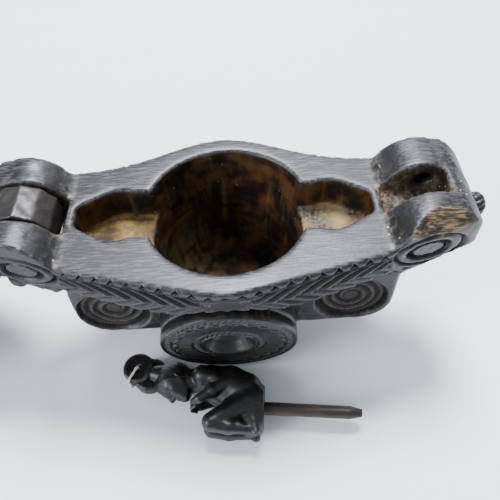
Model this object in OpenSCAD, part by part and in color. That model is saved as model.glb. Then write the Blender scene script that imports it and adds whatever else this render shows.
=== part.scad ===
// Hinged nutcracker of carved ebony: a bowed body with a round nut well and two wing pockets,
// a forked roll at each end, a lever lid that drops over the well, and a figure-headed locking peg.
// The origin is on the table under the middle of the body; +Z is up and +X runs along the length.

/* [Body] */
// Height of the top face above the table
body_h = 47; // [45:0.5:54]
// Distance from the middle to where a roll begins
roll_start = 37.2; // [35.5:0.1:40]
// Half length of the body, middle to the outer end of a roll
end_reach = 58.8; // [58.3:0.1:60]
// How far the carved band stands out past the bowl, front and back
rim_ledge = 2.1; // [1:0.1:5]
// Slope of the front edge, width lost per length
front_slope = 0.25; // [0.2:0.01:0.26]
// Half width that the back edge narrows to at the rolls
back_end_w = 14.5; // [13:0.1:16]
// Length over which the back edge narrows
back_run = 20.2; // [15:0.1:22]
// Height of the carved band under the top face
band_h = 9; // [7:0.5:11]
// Width of the band's lower edge at the back as a share of its upper edge
band_taper = 0.93; // [0.85:0.01:1]
// Half length of the flat middle of the band's lower front edge
band_flat = 12; // [8:0.5:14]

/* [Well and pockets] */
// Radius of the nut well at the rim
well_r = 19.3; // [17:0.1:21]
// Depth of the nut well
well_depth = 36; // [30:0.5:38]
// How much narrower the well is at its floor
well_narrowing = 4; // [3:0.1:5]
// Radius that rounds the well's floor
well_corner_r = 8; // [3:0.5:12]
// Wood left round the well at the rim
bowl_wall = 3.3; // [2.4:0.1:4.5]
// Radius that rounds the bowl's foot
bowl_corner_r = 6; // [4:0.5:10]
// Sideways offset of the hand-cut well from the middle
well_x = 0.6; // [0:0.1:1]
// Backward offset of the hand-cut well from the middle
well_y = 0.4; // [0:0.1:1]
// Radius of a wing pocket's bulge
pocket_r = 7.6; // [6:0.1:8.5]
// Distance from the middle to the pocket bulge's centre
pocket_x = 25.2; // [24:0.1:26]
// Half width of a pocket's squared outer end
pocket_end_w = 3; // [2:0.1:4]
// Wood between a pocket's end and the roll
pocket_margin = 2.1; // [1.5:0.1:4]
// Depth of the wing pockets
pocket_depth = 8.5; // [5:0.5:12]

/* [Rolls and slots] */
// Radius of the inner round of a roll
roll_r = 10.2; // [9.6:0.1:10.6]
// Depth of that round's centre below the top face
roll_drop = 3.6; // [3:0.1:4.4]
// Radius of the outer round of a roll
nose_r = 8.5; // [8:0.1:9]
// Width of the right slot, between the lugs that take the lid's tip
slot_w = 8; // [6:0.1:10]
// Width of the left slot, between the lugs that take the lid's knuckle
hinge_slot_w = 11; // [8:0.1:12]
// Wall left outside the right slot
slot_end_wall = 7.5; // [6:0.1:9]
// Depth of the right slot's floor below the top face
slot_floor = 1.6; // [1:0.1:2.5]
// Radius of the keel that rounds a roll's underside
keel_r = 26; // [24:0.5:30]
// Depth of the volute grooves
groove_depth = 0.9; // [0.5:0.1:1.4]
// Width of the volute grooves
groove_w = 1.1; // [0.8:0.1:1.3]
// Half width of the oval volute on a roll
volute_w = 8.6; // [7:0.1:9]
// Half height of the oval volute on a roll
volute_h = 4.6; // [4:0.1:5]

/* [Side scrolls] */
// Radius of a side scroll
scroll_r = 9.7; // [9:0.1:10.5]
// Distance from the middle to a side scroll's centre
scroll_x = 29.4; // [28.5:0.1:30.5]
// Depth of a side scroll's centre below the top face
scroll_drop = 21.8; // [20:0.1:24]
// How much further out the right scroll reaches than the left one
scroll_wide = 2.2; // [0:0.1:3]
// Half depth of a side scroll, front to back
scroll_half_d = 14; // [12:0.5:15]
// Depth of the dish in a side scroll's face
dish_depth = 2; // [1:0.1:3]

/* [Rosette] */
// Radius of the front rosette
rosette_r = 17.2; // [15:0.1:18]
// Thickness of the rosette disc
rosette_t = 3; // [2:0.1:3.4]
// How far the rosette's face stands out in front of the bowl
rosette_proud = 2.5; // [1.8:0.1:4]
// Tilt of the rosette towards the table
rosette_tilt = 8.7; // [4:0.1:10]
// Depth of the rosette's centre below the top face
rosette_drop = 27; // [26:0.5:28]
// Radius of the sunk middle of the rosette
rosette_cup_r = 6.6; // [4:0.1:8]
// Depth of the sunk middle
rosette_cup_depth = 4.2; // [3.5:0.1:4.6]

/* [Lid] */
// Thickness of the lid
lid_t = 5.2; // [4:0.1:7]
// Gap under the closed lid
lid_gap = 0.3; // [0.2:0.05:0.8]
// Depth of the hinge axis below the top face
hinge_drop = 2; // [1.6:0.1:2.4]
// Distance from the roll's start to the hinge axis
hinge_inset = 10; // [9.6:0.1:10.4]
// Gap between the knuckle and the end of the plate
knuckle_gap = 1.5; // [1:0.1:2.4]
// Gap on each side of the lid's tongues in their slots
tongue_gap = 0.3; // [0.2:0.05:0.6]
// How far the lid's edge lies inside the plate's edge
lid_inset = 0.8; // [0.5:0.1:3]
// Radius of the crusher under the lid
crusher_r = 10; // [7:0.1:12]
// Depth of the crusher below the lid
crusher_h = 9; // [5:0.5:11]
// Gap between the tip of the open lid and the table
tip_gap = 0.1; // [0.05:0.05:0.5]

/* [Pins and peg] */
// Radius of the hinge pin
hinge_pin_r = 1.8; // [1.4:0.1:2.2]
// Running clearance round the hinge pin
pin_clearance = 0.08; // [0.02:0.01:0.1]
// Radius of the locking peg's shaft
peg_r = 1.65; // [1.2:0.05:1.8]
// Clearance round the locking peg in its hole
peg_clearance = 0.1; // [0.05:0.01:0.2]
// Length of the locking peg's shaft
peg_len = 25; // [20:0.5:28]
// Depth of the blind end of the locking hole in the front lug
peg_blind = 5; // [3:0.5:6]
// Height of the locking hole's centre above the top face
lock_rise = 1.6; // [1.2:0.1:2]
// Distance from the roll's start to the locking hole
lock_inset = 10.6; // [9:0.1:11]
// Radius of the rope-carved knobs
knob_r = 3; // [2.4:0.1:3.4]
// How far a rope-carved knob stands out
knob_h = 2.8; // [2:0.1:4]

/* [Peg figure] */
// Radius of the topknot
topknot_r = 4.2; // [3.4:0.1:4.6]
// Thickness of the topknot
topknot_t = 4; // [3:0.1:5]
// Radius of the thread hole in the topknot
thread_hole_r = 0.7; // [0.6:0.05:0.9]
// Radius of the thread
thread_r = 0.35; // [0.25:0.05:0.4]
// Gap between the thread loop and the topknot
thread_gap = 0.15; // [0.1:0.05:0.3]
// Radius of the figure's head
head_r = 5.4; // [4.6:0.1:5.8]

/* [Hidden] */
$fn = 96;

ebony = [0.16, 0.14, 0.13];
ebony_worn = [0.25, 0.19, 0.14];
inner_brown = [0.33, 0.23, 0.14];
thread_white = [0.93, 0.92, 0.88];

bowl_r = well_r + bowl_wall;
plate_half_w = bowl_r + rim_ledge;
peak_round = 2;
outline_step = 1.24;
hinge_x = -(roll_start + hinge_inset);
hinge_z = body_h - hinge_drop;
lock_x = roll_start + lock_inset;
lock_z = body_h + lock_rise;
slot_end = end_reach - slot_end_wall;
face_angle = atan(front_slope);
nose_drop = 2.4;
keel_rise = 24;
keel_depth = 11.8;
roll_back_end = back_end_w - 0.3;
end_lean = 0.8;
low_set_back = 1.4;
low_slope = front_slope + 0.11;
low_round = 4;
slab = 0.2;
end_front_r = 3;
end_back_r = 7;
volute_inset = 8.8;
volute_drop = 2.6;
wear_r = 18;
wear_tilt = 52;
wear_rise = 4.1;
scroll_ridge_w = 1.3;
scroll_root_x = 16;
rosette_seat_gap = 0.05;

tongue_w = slot_w - 2 * tongue_gap;
hinge_tongue_w = hinge_slot_w - 2 * tongue_gap;
knuckle_r = hinge_inset - knuckle_gap;
shoulder_reach = 13;
lid_end_gap = 0.8;
tip_end_gap = 0.5;
tip_round = 2.5;
tip_x = slot_end - tip_end_gap;
tip_reach = norm([tip_x - hinge_x - tip_round, hinge_drop + lid_gap + lid_t - tip_round]);
tip_angle = atan2(hinge_drop + lid_gap + lid_t - tip_round, tip_x - hinge_x - tip_round);
lid_droop = asin((hinge_z - tip_round - tip_gap) / tip_reach) - tip_angle;
lid_swing = 180 + lid_droop;

peg_pos = [7.2, -33, 5.6];
peg_turn = -6;
topknot_pos = [-34.6, 9.1, 0];
coil_pos = [-32.4, 9.2, 0];
thread_turn = -112;
knob_socket = 0.8;
knob_y = -1.2;
knob_drop = 2;
left_knob_seat = 2.8;
left_knob_x = roll_start + 11.8;
left_knob_y = -(hinge_slot_w / 2 + front_w(left_knob_x)) / 2;

// Half width towards the front and the back at a distance x from the middle: low_front_w is that of the
// band's lower edge, which is flatter in the middle and flares past the top edge on both sides of it
function front_w(x) = plate_half_w - front_slope * (norm([x, peak_round]) - peak_round);
function low_front_w(x) = plate_half_w - low_set_back
    - low_slope * (norm([max(abs(x) - band_flat, 0), low_round]) - low_round);
function back_w(x) = back_end_w + (plate_half_w - back_end_w) * exp(-pow(x / back_run, 2));

// Height of a roll's underside at x and y
function keel_z(x, y) = body_h - keel_depth + (x - roll_start - hinge_inset) * tan(keel_rise)
    + (keel_r - sqrt(keel_r * keel_r - y * y)) / cos(keel_rise);

// Radius of the well and of the bowl's outside at a depth d below the top face
function well_r_at(d) = well_r - well_narrowing * d / well_depth;
function bowl_r_at(d) = bowl_r - well_narrowing * d / well_depth;

// Points of an arc that rounds the corner b of the path a-b-c with the radius r
function corner(a, b, c, r, n = 6) =
    let (u = (a - b) / norm(a - b), v = (c - b) / norm(c - b), half = acos(u * v) / 2,
         m = b + (u + v) / norm(u + v) * r / sin(half),
         p = b + u * r / tan(half) - m, q = b + v * r / tan(half) - m,
         turn = atan2(p[0] * q[1] - p[1] * q[0], p * q), start = atan2(p[1], p[0]))
    [for (i = [0:n]) m + r * [cos(start + turn * i / n), sin(start + turn * i / n)]];

// Even steps along the top face
function plate_steps() = [for (i = [0:60]) roll_start * (i / 30 - 1)];

// Closed outline with every corner rounded by its own radius; a radius of 0 keeps the corner
function rounded(points, radii) =
    let (n = len(points))
    [for (i = [0:n - 1]) each radii[i] > 0
        ? corner(points[(i + n - 1) % n], points[i], points[(i + 1) % n], radii[i]) : [points[i]]];

// Lens-shaped outline of the top face from x0 to x1, drawn in by inset
function lens(x0, x1, inset) =
    let (n = ceil((x1 - x0) / outline_step), xs = [for (i = [0:n]) x0 + (x1 - x0) * i / n])
    concat([for (x = xs) [x, inset - front_w(x)]],
           [for (i = [n:-1:0]) [xs[i], back_w(xs[i]) - inset]]);

// Spiral band that winds inwards, w wide, in an oval of half width a and half height b
function spiral_band(a, b, w, turns, pitch, n = 22) =
    let (k = ceil(n * turns))
    concat([for (i = [0:k]) let (t = 360 * turns * i / k, s = 1 - pitch * i / n) [a * s * cos(t), b * s * sin(t)]],
           [for (i = [k:-1:0]) let (t = 360 * turns * i / k, s = 1 - pitch * i / n)
               [(a * s - w) * cos(t), (b * s - w) * sin(t)]]);

// Puts a shape drawn in X and Z on its side: its +Z depth runs back from y
module from_front(y) {
    translate([0, y, 0]) rotate([90, 0, 0]) children();
}

// Plate with the carved band round its edge: its front face runs from the peaked top edge to the
// flatter lower one
module plate() {
    xs = plate_steps();
    n = len(xs);
    translate([0, 0, body_h - band_h])
        linear_extrude(band_h, scale = [1, 1 / band_taper], slices = 1, $fn = 3)
            polygon(concat([[-roll_start, -roll_r], [roll_start, -roll_r]],
                           [for (i = [n - 1:-1:0]) [xs[i], band_taper * back_w(xs[i])]]));
    hull() {
        translate([0, 0, body_h - slab]) linear_extrude(slab)
            polygon(concat([[roll_start, 0], [-roll_start, 0]], [for (x = xs) [x, -front_w(x)]]));
        translate([0, 0, body_h - band_h]) linear_extrude(slab)
            polygon(concat([[roll_start, 0], [-roll_start, 0]], [for (x = xs) [x, -low_front_w(x)]]));
    }
}

module bowl() {
    foot = [bowl_r_at(body_h) - bowl_corner_r, 0];
    translate([well_x, well_y, 0])
        rotate_extrude()
            polygon(concat([[0, 0]],
                corner(foot - [1, 0], [bowl_r_at(body_h), 0], [bowl_r, body_h - band_h + 1], bowl_corner_r, 8),
                [[bowl_r_at(band_h - 1), body_h - band_h + 1], [0, body_h - band_h + 1]]));
}

module well() {
    translate([well_x, well_y, body_h])
        rotate_extrude()
            polygon(concat([[0, 1], [0, -well_depth]],
                corner([0, -well_depth], [well_r_at(well_depth), -well_depth], [well_r, 0], well_corner_r, 8),
                [[well_r, 0], [well_r, 1]]));
}

module pocket() {
    end_x = roll_start - pocket_margin;
    translate([0, 0, body_h - pocket_depth])
        linear_extrude(pocket_depth + 1)
            union() {
                translate([pocket_x, 0]) circle(pocket_r);
                translate([well_r_at(pocket_depth) - 3, -0.92 * pocket_r])
                    square([pocket_x - well_r_at(pocket_depth) + 3, 1.84 * pocket_r]);
                polygon([[pocket_x, -0.98 * pocket_r], [pocket_x + 2.8, -0.93 * pocket_r], [end_x, -pocket_end_w],
                         [end_x, pocket_end_w], [pocket_x + 2.8, 0.93 * pocket_r], [pocket_x, 0.98 * pocket_r]]);
            }
}

// Top view of a roll: the tapering front face, the bowed end with round corners, the straight back
module roll_plan() {
    x0 = roll_start - 1;
    front_end = end_reach - end_lean;
    polygon(rounded(
        [[x0, -front_w(x0) + 0.2], [front_end, -front_w(front_end)], [end_reach, -3],
         [end_reach, roll_back_end], [x0, back_w(x0) - 0.3]],
        [0, end_front_r, 8, end_back_r, 0]));
}

module roll() {
    centre_x = roll_start + hinge_inset;
    intersection() {
        union() {
            translate([centre_x, 0, body_h - roll_drop]) rotate([90, 0, 0])
                cylinder(r = roll_r, h = 2 * plate_half_w, center = true);
            translate([end_reach - nose_r, 0, body_h - nose_drop]) rotate([90, 0, 0])
                cylinder(r = nose_r, h = 2 * plate_half_w, center = true);
        }
        translate([0, 0, body_h - 2 * band_h]) linear_extrude(3 * band_h) roll_plan();
        translate([centre_x, 0, body_h - keel_depth + keel_r / cos(keel_rise)]) rotate([0, 90 - keel_rise, 0])
            cylinder(r = keel_r, h = 3 * keel_r, center = true);
    }
}

// Places a volute drawn in X and Y on the tapering front face of the right roll
module on_roll_face(sink) {
    x = roll_start + volute_inset;
    translate([x, -front_w(x), body_h - volute_drop]) rotate([0, 0, face_angle]) rotate([90, 0, 0])
        translate([0, 0, -sink]) children();
}

module roll_volute() {
    on_roll_face(groove_depth) linear_extrude(3)
        polygon(spiral_band(volute_w - 0.6, volute_h - 0.6, groove_w, 1.35, 0.36));
}

// Hollow worn into the upper front edge of the right roll
module worn_edge() {
    on_roll_face(0) translate([1, wear_rise, 0]) rotate([wear_tilt, 0, 0]) translate([0, wear_r, 0])
        cylinder(r = wear_r, h = 3 * roll_r, center = true);
}

// Block under the band with a round scroll at its outer, lower corner
module side_scroll(wide) {
    top = body_h - band_h + 0.5;
    mid = body_h - scroll_drop;
    outer = scroll_x + scroll_r + wide;
    from_front(scroll_half_d) linear_extrude(2 * scroll_half_d)
        polygon(rounded(
            [[scroll_root_x, top], [outer - 1 + wide / 2, top], [outer, mid + 2.6],
             [outer, mid - scroll_r], [scroll_root_x, mid - scroll_r + 0.4]],
            [0, 0, 1.2, scroll_r - 0.8, 0]));
}

// Dish in the front face of a side scroll, with a spiral ridge left standing in it
module scroll_dish(wide) {
    from_front(-scroll_half_d + dish_depth) linear_extrude(dish_depth + 1)
        translate([scroll_x + wide / 2, body_h - scroll_drop])
            difference() {
                circle(scroll_r - 1);
                polygon(spiral_band(scroll_r - 3, scroll_r - 3, scroll_ridge_w, 1.6, 0.34));
            }
}

// Frame of the rosette: children are drawn with the face at z = 0 and +Z pointing out of it
module at_rosette() {
    translate([-0.7, well_y - bowl_r_at(rosette_drop) - rosette_proud, body_h - rosette_drop])
        rotate([90 + rosette_tilt, 0, 0]) children();
}

module rosette_cup() {
    translate([0, 0, -rosette_cup_depth])
        cylinder(r1 = 0.62 * rosette_cup_r, r2 = rosette_cup_r, h = rosette_cup_depth);
    cylinder(r = rosette_cup_r, h = 1);
}

// Bore across both lugs of a slot w wide: through the back lug and blind in the front one
module cross_bore(x, z, r, w) {
    translate([x, 0, z]) rotate([90, 0, 0])
        translate([0, 0, -plate_half_w]) cylinder(r = r, h = plate_half_w + w / 2 + peg_blind);
}

module knob_at_right_end() {
    translate([end_reach - knob_socket, knob_y, body_h - knob_drop]) rotate([0, 90, 0]) children();
}

module knob_under_left_roll() {
    translate([-left_knob_x, left_knob_y, keel_z(left_knob_x, left_knob_y) + left_knob_seat])
        rotate([180, 0, 0]) children();
}

module body() {
    color(ebony)
        difference() {
            union() {
                plate();
                bowl();
                for (side = [0, 1]) mirror([side, 0, 0]) {
                    roll();
                    side_scroll((1 - side) * scroll_wide);
                }
                at_rosette() translate([0, 0, -rosette_t - 9]) cylinder(r = rosette_r, h = 9);
            }
            well();
            for (side = [0, 1]) mirror([side, 0, 0]) {
                pocket();
                roll_volute();
                scroll_dish((1 - side) * scroll_wide);
            }
            worn_edge();
            translate([roll_start - 0.2, -slot_w / 2, body_h - slot_floor])
                cube([slot_end - roll_start + 0.2, slot_w, 3 * slot_w]);
            translate([-end_reach - 2, -hinge_slot_w / 2, body_h - 2 * roll_r])
                cube([end_reach + 2 - roll_start, hinge_slot_w, 4 * roll_r]);
            cross_bore(hinge_x, hinge_z, hinge_pin_r + pin_clearance, hinge_slot_w);
            cross_bore(lock_x, lock_z, peg_r + peg_clearance, slot_w);
            at_rosette() {
                translate([0, 0, -rosette_t]) cylinder(r = rosette_r + rosette_seat_gap, h = rosette_t + 2);
                rosette_cup();
            }
            knob_at_right_end() cylinder(r = knob_r + 0.1, h = 4);
            knob_under_left_roll() cylinder(r = knob_r + 0.1, h = left_knob_seat + 4);
        }
}

module rosette() {
    color(ebony)
        at_rosette()
            difference() {
                translate([0, 0, -rosette_t]) cylinder(r = rosette_r, h = rosette_t);
                rosette_cup();
                for (edge = [rosette_r - 0.4, rosette_cup_r + 2.6])
                    translate([0, 0, -0.5]) difference() {
                        cylinder(r = edge, h = 1);
                        translate([0, 0, -1]) cylinder(r = edge - 0.5, h = 3);
                    }
            }
}

// Low round knob carved as a twist of rope strands, on a stem that seats on the floor of its socket
module rope_knob(seat) {
    strands = 9;
    cylinder(r = knob_r, h = seat);
    translate([0, 0, seat])
        linear_extrude(knob_h * 0.6, twist = 36, slices = 4)
            polygon([for (i = [0:4 * strands - 1]) let (a = 90 * i / strands)
                (knob_r - (i % 4 == 0 ? 0.5 : 0.05)) * [cos(a), sin(a)]]);
    translate([0, 0, seat + knob_h * 0.6])
        cylinder(r1 = knob_r - 0.6, r2 = knob_r * 0.45, h = knob_h * 0.4);
}

module right_rope_knob() {
    color(ebony) knob_at_right_end() rope_knob(knob_socket);
}

module left_rope_knob() {
    color(ebony) knob_under_left_roll() rope_knob(left_knob_seat);
}

module hinge_pin() {
    back = back_w(roll_start) - 1.2;
    color(ebony_worn)
        translate([hinge_x, back, hinge_z]) rotate([90, 0, 0])
            cylinder(r = hinge_pin_r, h = back + hinge_slot_w / 2 + peg_blind - 0.2);
}

// Turns what is drawn for the closed lid into the open pose, its tip on the table
module lid_open() {
    translate([hinge_x, 0, hinge_z]) rotate([0, -lid_swing, 0]) translate([-hinge_x, 0, -hinge_z]) children();
}

module lid() {
    under = body_h + lid_gap;
    tenon_x = roll_start + 0.4;
    wide_end = roll_start - lid_end_gap;
    color(ebony_worn)
        lid_open()
            difference() {
                union() {
                    translate([0, 0, under]) linear_extrude(lid_t)
                        polygon(lens(hinge_x + shoulder_reach, wide_end, lid_inset));
                    translate([hinge_x, 0, hinge_z]) rotate([90, 0, 0])
                        cylinder(r = knuckle_r, h = hinge_tongue_w, center = true, $fn = 12);
                    translate([hinge_x, -hinge_tongue_w / 2, under])
                        cube([shoulder_reach + 2, hinge_tongue_w, lid_t]);
                    from_front(tongue_w / 2) linear_extrude(tongue_w)
                        polygon(rounded(
                            [[wide_end - 2, under], [tenon_x, under], [tenon_x, body_h - slot_floor + lid_gap],
                             [tip_x, body_h - slot_floor + lid_gap], [tip_x, under + lid_t],
                             [wide_end - 2, under + lid_t]],
                            [0, 0, 0.6, 1, tip_round, 0]));
                }
                translate([hinge_x, 0, hinge_z]) rotate([90, 0, 0])
                    cylinder(r = hinge_pin_r + pin_clearance, h = hinge_slot_w, center = true);
                translate([lock_x, 0, lock_z]) rotate([90, 0, 0])
                    cylinder(r = peg_r + peg_clearance, h = slot_w, center = true);
            }
}

// Round block under the lid with a shallow cup that holds the nut
module crusher() {
    cup_r = crusher_r - 1.5;
    color(inner_brown)
        lid_open()
            translate([well_x, well_y, body_h + lid_gap - crusher_h])
                difference() {
                    cylinder(r1 = crusher_r - 1, r2 = crusher_r, h = crusher_h);
                    translate([0, 0, -1.6 * crusher_r]) sphere(r = 1.8 * crusher_r);
                }
}

// Frame of the peg where it lies: +X points along the shaft, its axis peg_pos[2] above the table
module at_peg() {
    translate([peg_pos[0], peg_pos[1], 0]) rotate([0, 0, peg_turn]) children();
}

// Limb of the figure: two balls joined
module limb(a, ra, b, rb) {
    hull() {
        translate(a) sphere(r = ra, $fn = 16);
        translate(b) sphere(r = rb, $fn = 16);
    }
}

// Crouching figure lying on its side: bent knees, hand raised to the head, hair in a round topknot
module peg_figure() {
    mid = peg_pos[2];
    head = [-23.7, 5.9, mid];
    color(ebony)
        at_peg()
            difference() {
                union() {
                    hull() {
                        translate([-5.6, 4.3, mid]) sphere(r = 5.4, $fn = 24);
                        translate([-9.5, 6.2, mid]) sphere(r = 4.6, $fn = 24);
                        translate([-14.2, 6.4, mid]) sphere(r = 4.3, $fn = 24);
                    }
                    hull() {
                        translate([-1, 1.6, mid]) rotate([0, 90, 0]) cylinder(r = 5.1, h = 1, $fn = 24);
                        translate([-1, -4, mid]) rotate([0, 90, 0]) cylinder(r = 4.2, h = 1, $fn = 24);
                        translate([-5.2, 0, mid]) sphere(r = 4.6, $fn = 24);
                    }
                    for (side = [-1, 1]) {
                        limb([-5.4, 1.2, mid + 2 * side], 3.2, [-13.4, -5.2, mid + 2.4 * side], 2.6);
                        limb([-13.4, -5.2, mid + 2.4 * side], 2.5, [-2.8, -6.4, mid + 2 * side], 1.9);
                        limb([-17.4, 7.4, mid + 3 * side], 2.3, [-10.6, 5.4, mid + 3.4 * side], 1.9);
                        limb([-10.6, 5.4, mid + 3.4 * side], 1.8, [-17, 0.3, mid + 3 * side], 1.6);
                    }
                    limb([-17, 6.6, mid], 3.6, head, 3.8);
                    translate(head) sphere(r = head_r, $fn = 28);
                    limb(head + [-3.4, 1.2, 0], 3.6, topknot_pos + [2.6, -0.8, mid], 2);
                    translate(topknot_pos + [0, 0, mid - topknot_t / 2]) cylinder(r = topknot_r, h = topknot_t, $fn = 40);
                    translate(coil_pos + [0, 0, mid - topknot_t / 2])
                        cylinder(r = topknot_r + 1, h = topknot_t / 2, $fn = 40);
                }
                translate(topknot_pos) cylinder(r = thread_hole_r, h = 3 * mid, $fn = 24);
            }
}

module peg_shaft() {
    taper = 3;
    color(ebony_worn)
        at_peg() translate([0, 0, peg_pos[2]]) rotate([0, 90, 0])
            union() {
                cylinder(r = peg_r, h = peg_len - taper);
                translate([0, 0, peg_len - taper]) cylinder(r1 = peg_r, r2 = peg_r * 0.6, h = taper);
            }
}

// Quarter bend of the thread about the origin, from +X to +Y
module thread_bend(r) {
    rotate_extrude(angle = 90) translate([r, 0]) circle(thread_r, $fn = 16);
}

// Loop of thread through the topknot's hole and round its rim, an upright oblong with round corners
module thread_loop() {
    bend = 0.7;
    long = topknot_r + thread_gap + thread_r;
    high = topknot_t + 2 * (thread_gap + thread_r);
    color(thread_white)
        at_peg() translate(topknot_pos + [0, 0, peg_pos[2]]) rotate([0, 0, thread_turn]) rotate([90, 0, 0])
            translate([long / 2, 0, 0])
                for (turn = [0, 180]) rotate([0, 0, turn]) {
                    translate([long / 2 - bend, high / 2 - bend, 0]) thread_bend(bend);
                    translate([bend - long / 2, high / 2 - bend, 0]) rotate([0, 0, 90]) thread_bend(bend);
                    translate([bend - long / 2, high / 2, 0]) rotate([0, 90, 0])
                        cylinder(r = thread_r, h = long - 2 * bend, $fn = 16);
                    translate([long / 2, bend - high / 2, 0]) rotate([-90, 0, 0])
                        cylinder(r = thread_r, h = high - 2 * bend, $fn = 16);
                }
}

body();
rosette();
right_rope_knob();
left_rope_knob();
hinge_pin();
lid();
crusher();
peg_figure();
peg_shaft();
thread_loop();
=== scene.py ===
# Carved ebony nutcracker with a hinged lid and a figure-headed peg, dressed over its fixed frame.
import bpy
import bmesh
import numpy as np
from mathutils import Matrix, Vector


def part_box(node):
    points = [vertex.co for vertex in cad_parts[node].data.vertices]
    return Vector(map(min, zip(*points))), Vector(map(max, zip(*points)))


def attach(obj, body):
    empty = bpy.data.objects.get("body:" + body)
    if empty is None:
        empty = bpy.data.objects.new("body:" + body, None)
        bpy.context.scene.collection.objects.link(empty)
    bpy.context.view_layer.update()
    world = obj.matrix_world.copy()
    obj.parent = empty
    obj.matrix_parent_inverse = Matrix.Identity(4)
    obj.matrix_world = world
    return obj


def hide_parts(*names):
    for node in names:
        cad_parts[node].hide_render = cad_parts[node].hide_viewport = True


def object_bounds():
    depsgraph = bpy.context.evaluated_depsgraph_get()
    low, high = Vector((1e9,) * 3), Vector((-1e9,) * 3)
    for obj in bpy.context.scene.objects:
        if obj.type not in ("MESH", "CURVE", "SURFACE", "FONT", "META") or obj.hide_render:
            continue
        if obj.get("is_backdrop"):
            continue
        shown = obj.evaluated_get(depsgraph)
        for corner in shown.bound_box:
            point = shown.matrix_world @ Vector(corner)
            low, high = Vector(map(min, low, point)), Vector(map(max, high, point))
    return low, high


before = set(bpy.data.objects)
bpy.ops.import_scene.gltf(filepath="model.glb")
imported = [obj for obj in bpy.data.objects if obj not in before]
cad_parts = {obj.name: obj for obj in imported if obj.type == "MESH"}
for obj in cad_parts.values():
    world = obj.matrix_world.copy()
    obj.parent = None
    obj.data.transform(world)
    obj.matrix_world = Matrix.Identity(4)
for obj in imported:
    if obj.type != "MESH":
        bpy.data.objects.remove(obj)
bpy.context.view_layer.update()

mm = 0.001

# the driving sizes of the solids, mm
bodyShape = {
    "top": 47.0, "rollStart": 37.2, "halfWidth": 24.7, "peakRound": 2.0, "frontSlope": 0.25,
    "backEnd": 14.5, "backRun": 20.2, "bandHeight": 9.0, "bandTaper": 0.93, "bandFlat": 12.0,
    "lowSetBack": 1.4, "lowSlope": 0.36, "lowRound": 4.0, "wellX": 0.6, "wellY": 0.4, "wellR": 19.3,
    "wellDepth": 36.0, "pocketDepth": 8.5, "slotHalf": 4.0, "hingeSlotHalf": 5.5, "slotEnd": 51.3,
}


def srgb(code):
    # hex colour to linear: the sRGB curve undone on each channel
    c = np.array([int(code[i:i + 2], 16) for i in (1, 3, 5)]) / 255
    lin = np.where(c <= 0.04045, c / 12.92, ((c + 0.055) / 1.055) ** 2.4)
    return (*[float(v) for v in lin], 1.0)


def addNode(tree, kind, settings=None, inputs=None):
    # adds one node, sets its properties, then links or sets its inputs
    node = tree.nodes.new(kind)
    for key, value in (settings or {}).items():
        setattr(node, key, value)
    for key, value in (inputs or {}).items():
        if isinstance(value, bpy.types.NodeSocket):
            tree.links.new(value, node.inputs[key])
        else:
            node.inputs[key].default_value = value
    return node


def noise(p, cell, seed=0):
    # lattice noise from -1 to 1: a hashed value at each corner of a cell, blended by the quintic fade
    q = np.asarray(p, float) / cell + 37.7 * seed
    i = np.floor(q).astype(np.int64)
    f = q - i
    u = f ** 3 * (f * (6 * f - 15) + 10)
    total = np.zeros(len(q))
    for cx in (0, 1):
        for cy in (0, 1):
            for cz in (0, 1):
                c = i + (cx, cy, cz)
                h = (c[:, 0] * 73856093) ^ (c[:, 1] * 19349663) ^ (c[:, 2] * 83492791)
                h = ((h ^ (h >> 13)) * 1274126177) & 0xffffffff
                h = (h ^ (h >> 16)) & 0xffff
                w = np.where(cx, u[:, 0], 1 - u[:, 0]) * np.where(cy, u[:, 1], 1 - u[:, 1])
                total += w * np.where(cz, u[:, 2], 1 - u[:, 2]) * (h / 32767.5 - 1)
    return total


def step(x, low, high):
    # smooth ramp from 0 at low to 1 at high
    t = np.clip((x - low) / (high - low), 0, 1)
    return t * t * (3 - 2 * t)


def fall(x, low, high):
    # smooth ramp from 1 at low to 0 at high
    return 1 - step(x, low, high)


def hump(x, middle, width):
    # bell curve of height 1
    return np.exp(-((x - middle) / width) ** 2)


def putCoords(mesh, points):
    # points in mm into a mesh
    mesh.vertices.foreach_set("co", (np.asarray(points) * mm).astype(np.float32).ravel())
    mesh.update()


def finishPiece(name, mesh, material, body, node, attributes=None):
    # a smooth mesh becomes a piece that rides on a body and stands for a CAD node
    mesh.polygons.foreach_set("use_smooth", np.ones(len(mesh.polygons), bool))
    for key, values in (attributes or {}).items():
        amount = np.clip(values, 0, 1).astype(np.float32)
        mesh.attributes.new(key, "FLOAT", "POINT").data.foreach_set("value", amount)
    mesh.materials.clear()
    mesh.materials.append(material)
    piece = bpy.data.objects.new(name, mesh)
    bpy.context.scene.collection.objects.link(piece)
    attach(piece, body)
    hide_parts(node)
    print(name, len(mesh.polygons))


def newMesh(name, points, faces):
    # points in mm
    mesh = bpy.data.meshes.new(name)
    mesh.from_pydata((np.asarray(points) * mm).tolist(), [], [tuple(f) for f in faces])
    return mesh


def mergedCopy(node):
    # a CAD node's mesh with its doubled points merged
    bm = bmesh.new()
    bm.from_mesh(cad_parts[node].data)
    bmesh.ops.remove_doubles(bm, verts=bm.verts, dist=1e-6)
    return bm


def gridFaces(rows, cols, wrap=False):
    # quads of a rows x cols grid of points; wrap joins the last column to the first
    r = np.arange(rows - 1)[:, None]
    c = np.arange(cols if wrap else cols - 1)[None, :]
    a = r * cols + c
    b = r * cols + (c + 1) % cols
    return np.stack([a, b, b + cols, a + cols], -1).reshape(-1, 4)


def coordsOf(mesh):
    co = np.empty(len(mesh.vertices) * 3, np.float32)
    mesh.vertices.foreach_get("co", co)
    return co.reshape(-1, 3).astype(float) / mm


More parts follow.
